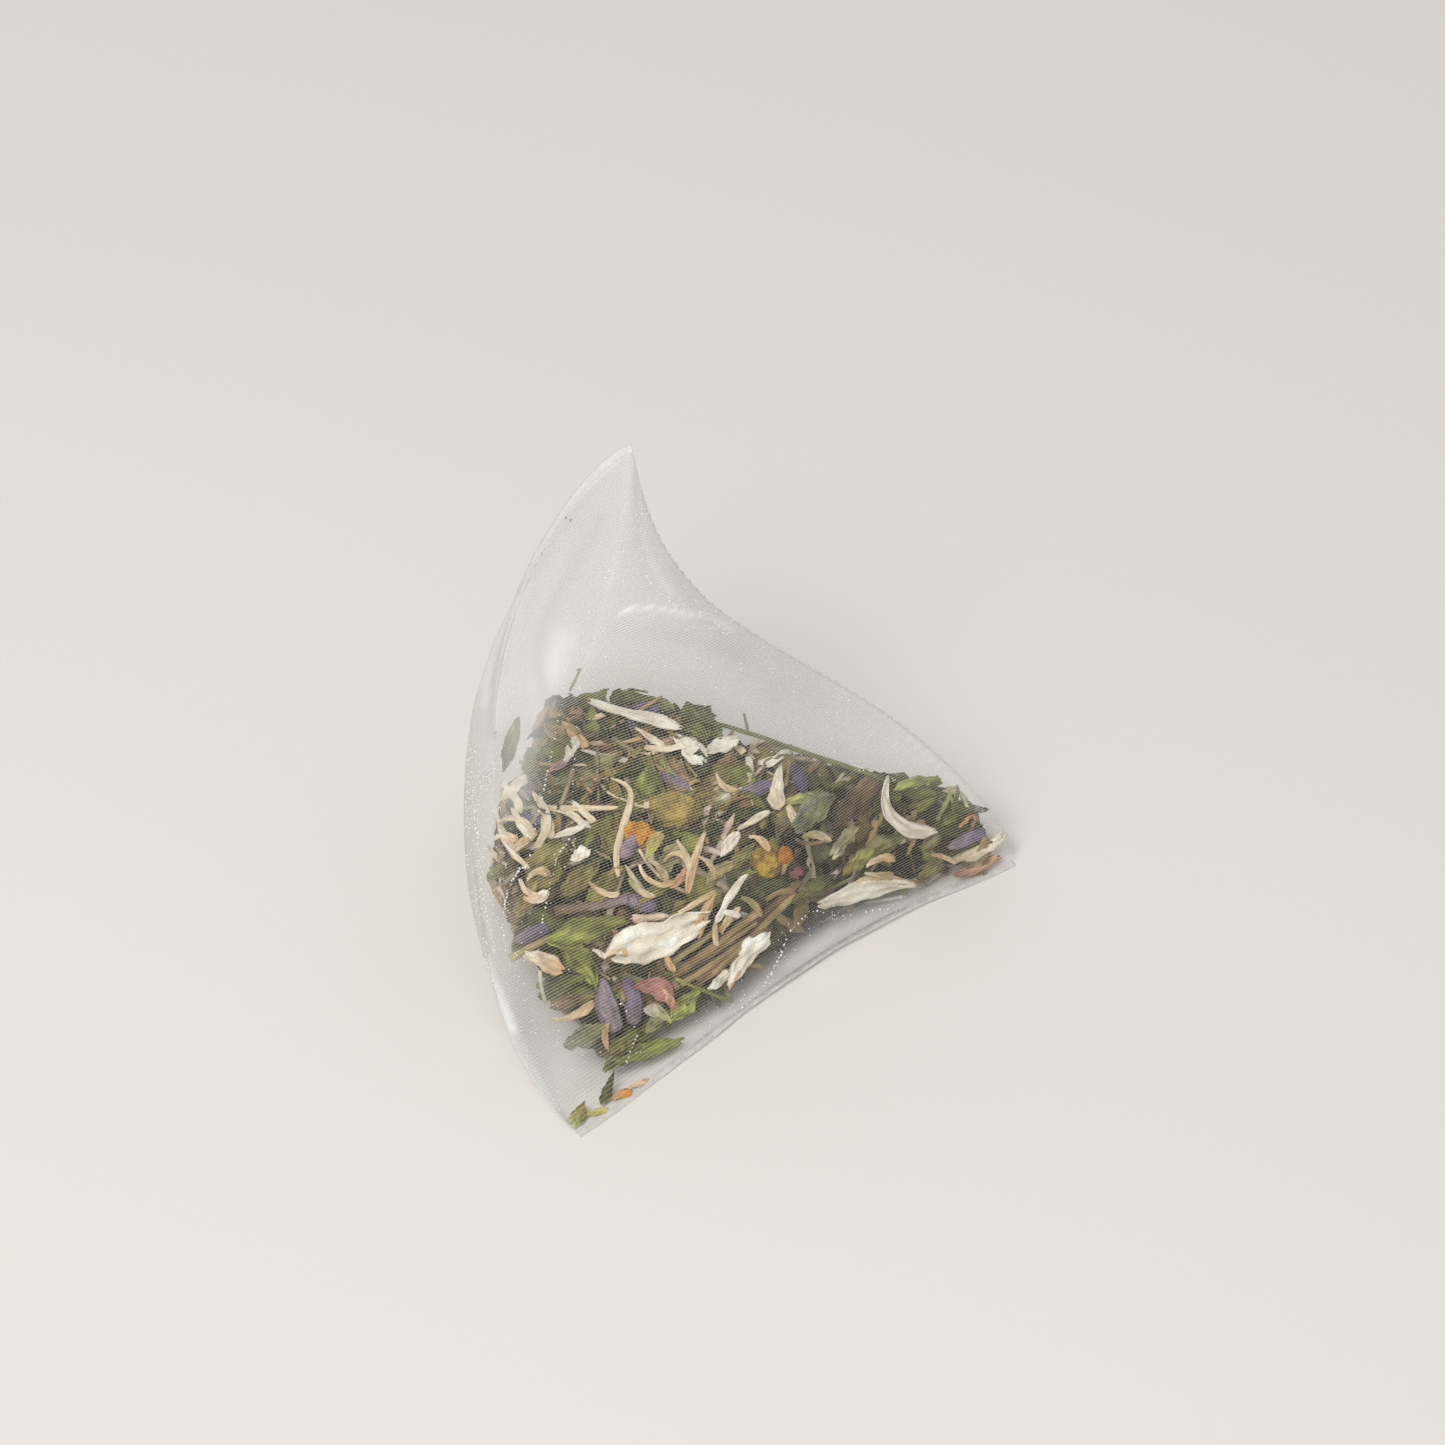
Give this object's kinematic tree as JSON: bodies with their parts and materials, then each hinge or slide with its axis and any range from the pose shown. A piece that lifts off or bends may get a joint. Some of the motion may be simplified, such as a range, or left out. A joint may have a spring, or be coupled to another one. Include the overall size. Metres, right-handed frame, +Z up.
{
  "type": "pyramid tea bag",
  "caption": "Pyramid tea bag of clear woven mesh, welded at both ends and filled with cut herbs and dried flowers.",
  "frame": {"origin": "on the table, under the middle of the bag's footprint", "axes": "+Z up; the front weld lies on the table along the +X +Y diagonal, on the -Y side; the free corner points up"},
  "size_m": [0.0573, 0.0575, 0.0551],
  "materials": {
    "mesh_cloth": "open plain weave of fine clear threads",
    "cut_herb": "coarse dry cut herb, matt",
    "leaf": "dry wrinkled leaf, matt",
    "petal": "dry petal, matt",
    "lavender": "dry ribbed bud, matt",
    "flower_head": "dry flower head, grainy",
    "stalk": "dry stalk, fibrous"
  },
  "bodies": {
    "root": {"mesh_bag": "mesh_cloth", "cut_herb_heap": "cut_herb", "petal_wide": "petal", "petal_low": "petal", "petal_right": "petal", "petal_c_shaped": "petal", "petal_cluster": "petal", "petal_left": "petal", "petal_branching": "petal", "petal_far_right": "petal", "petal_pink_left": "petal", "petal_tangle": "petal", "lavender_bud_1": "lavender", "lavender_bud_2": "lavender", "lavender_bud_3": "lavender", "lavender_bud_4": "lavender", "lavender_bud_5": "lavender", "lavender_bud_6": "lavender", "chamomile_head_left": "flower_head", "chamomile_head_right": "flower_head", "split_stalk_white": "stalk", "split_stalk_pale": "stalk", "stalk_flakes": "stalk", "stem_green_long": "stalk", "stem_grey_bundle": "stalk", "stem_cream_thin": "stalk", "leaf_dark_left": "leaf", "leaf_blue_left": "leaf", "leaf_top_left": "leaf", "leaf_bright": "leaf", "leaf_low_left": "leaf", "leaf_bottom": "leaf", "leaf_olive": "leaf", "leaf_middle": "leaf", "leaf_blue_right": "leaf", "leaf_brown": "stalk", "leaf_serrated": "leaf", "leaf_yellow_right": "leaf", "leaf_yellow_low": "leaf"}
  },
  "joints": []
}
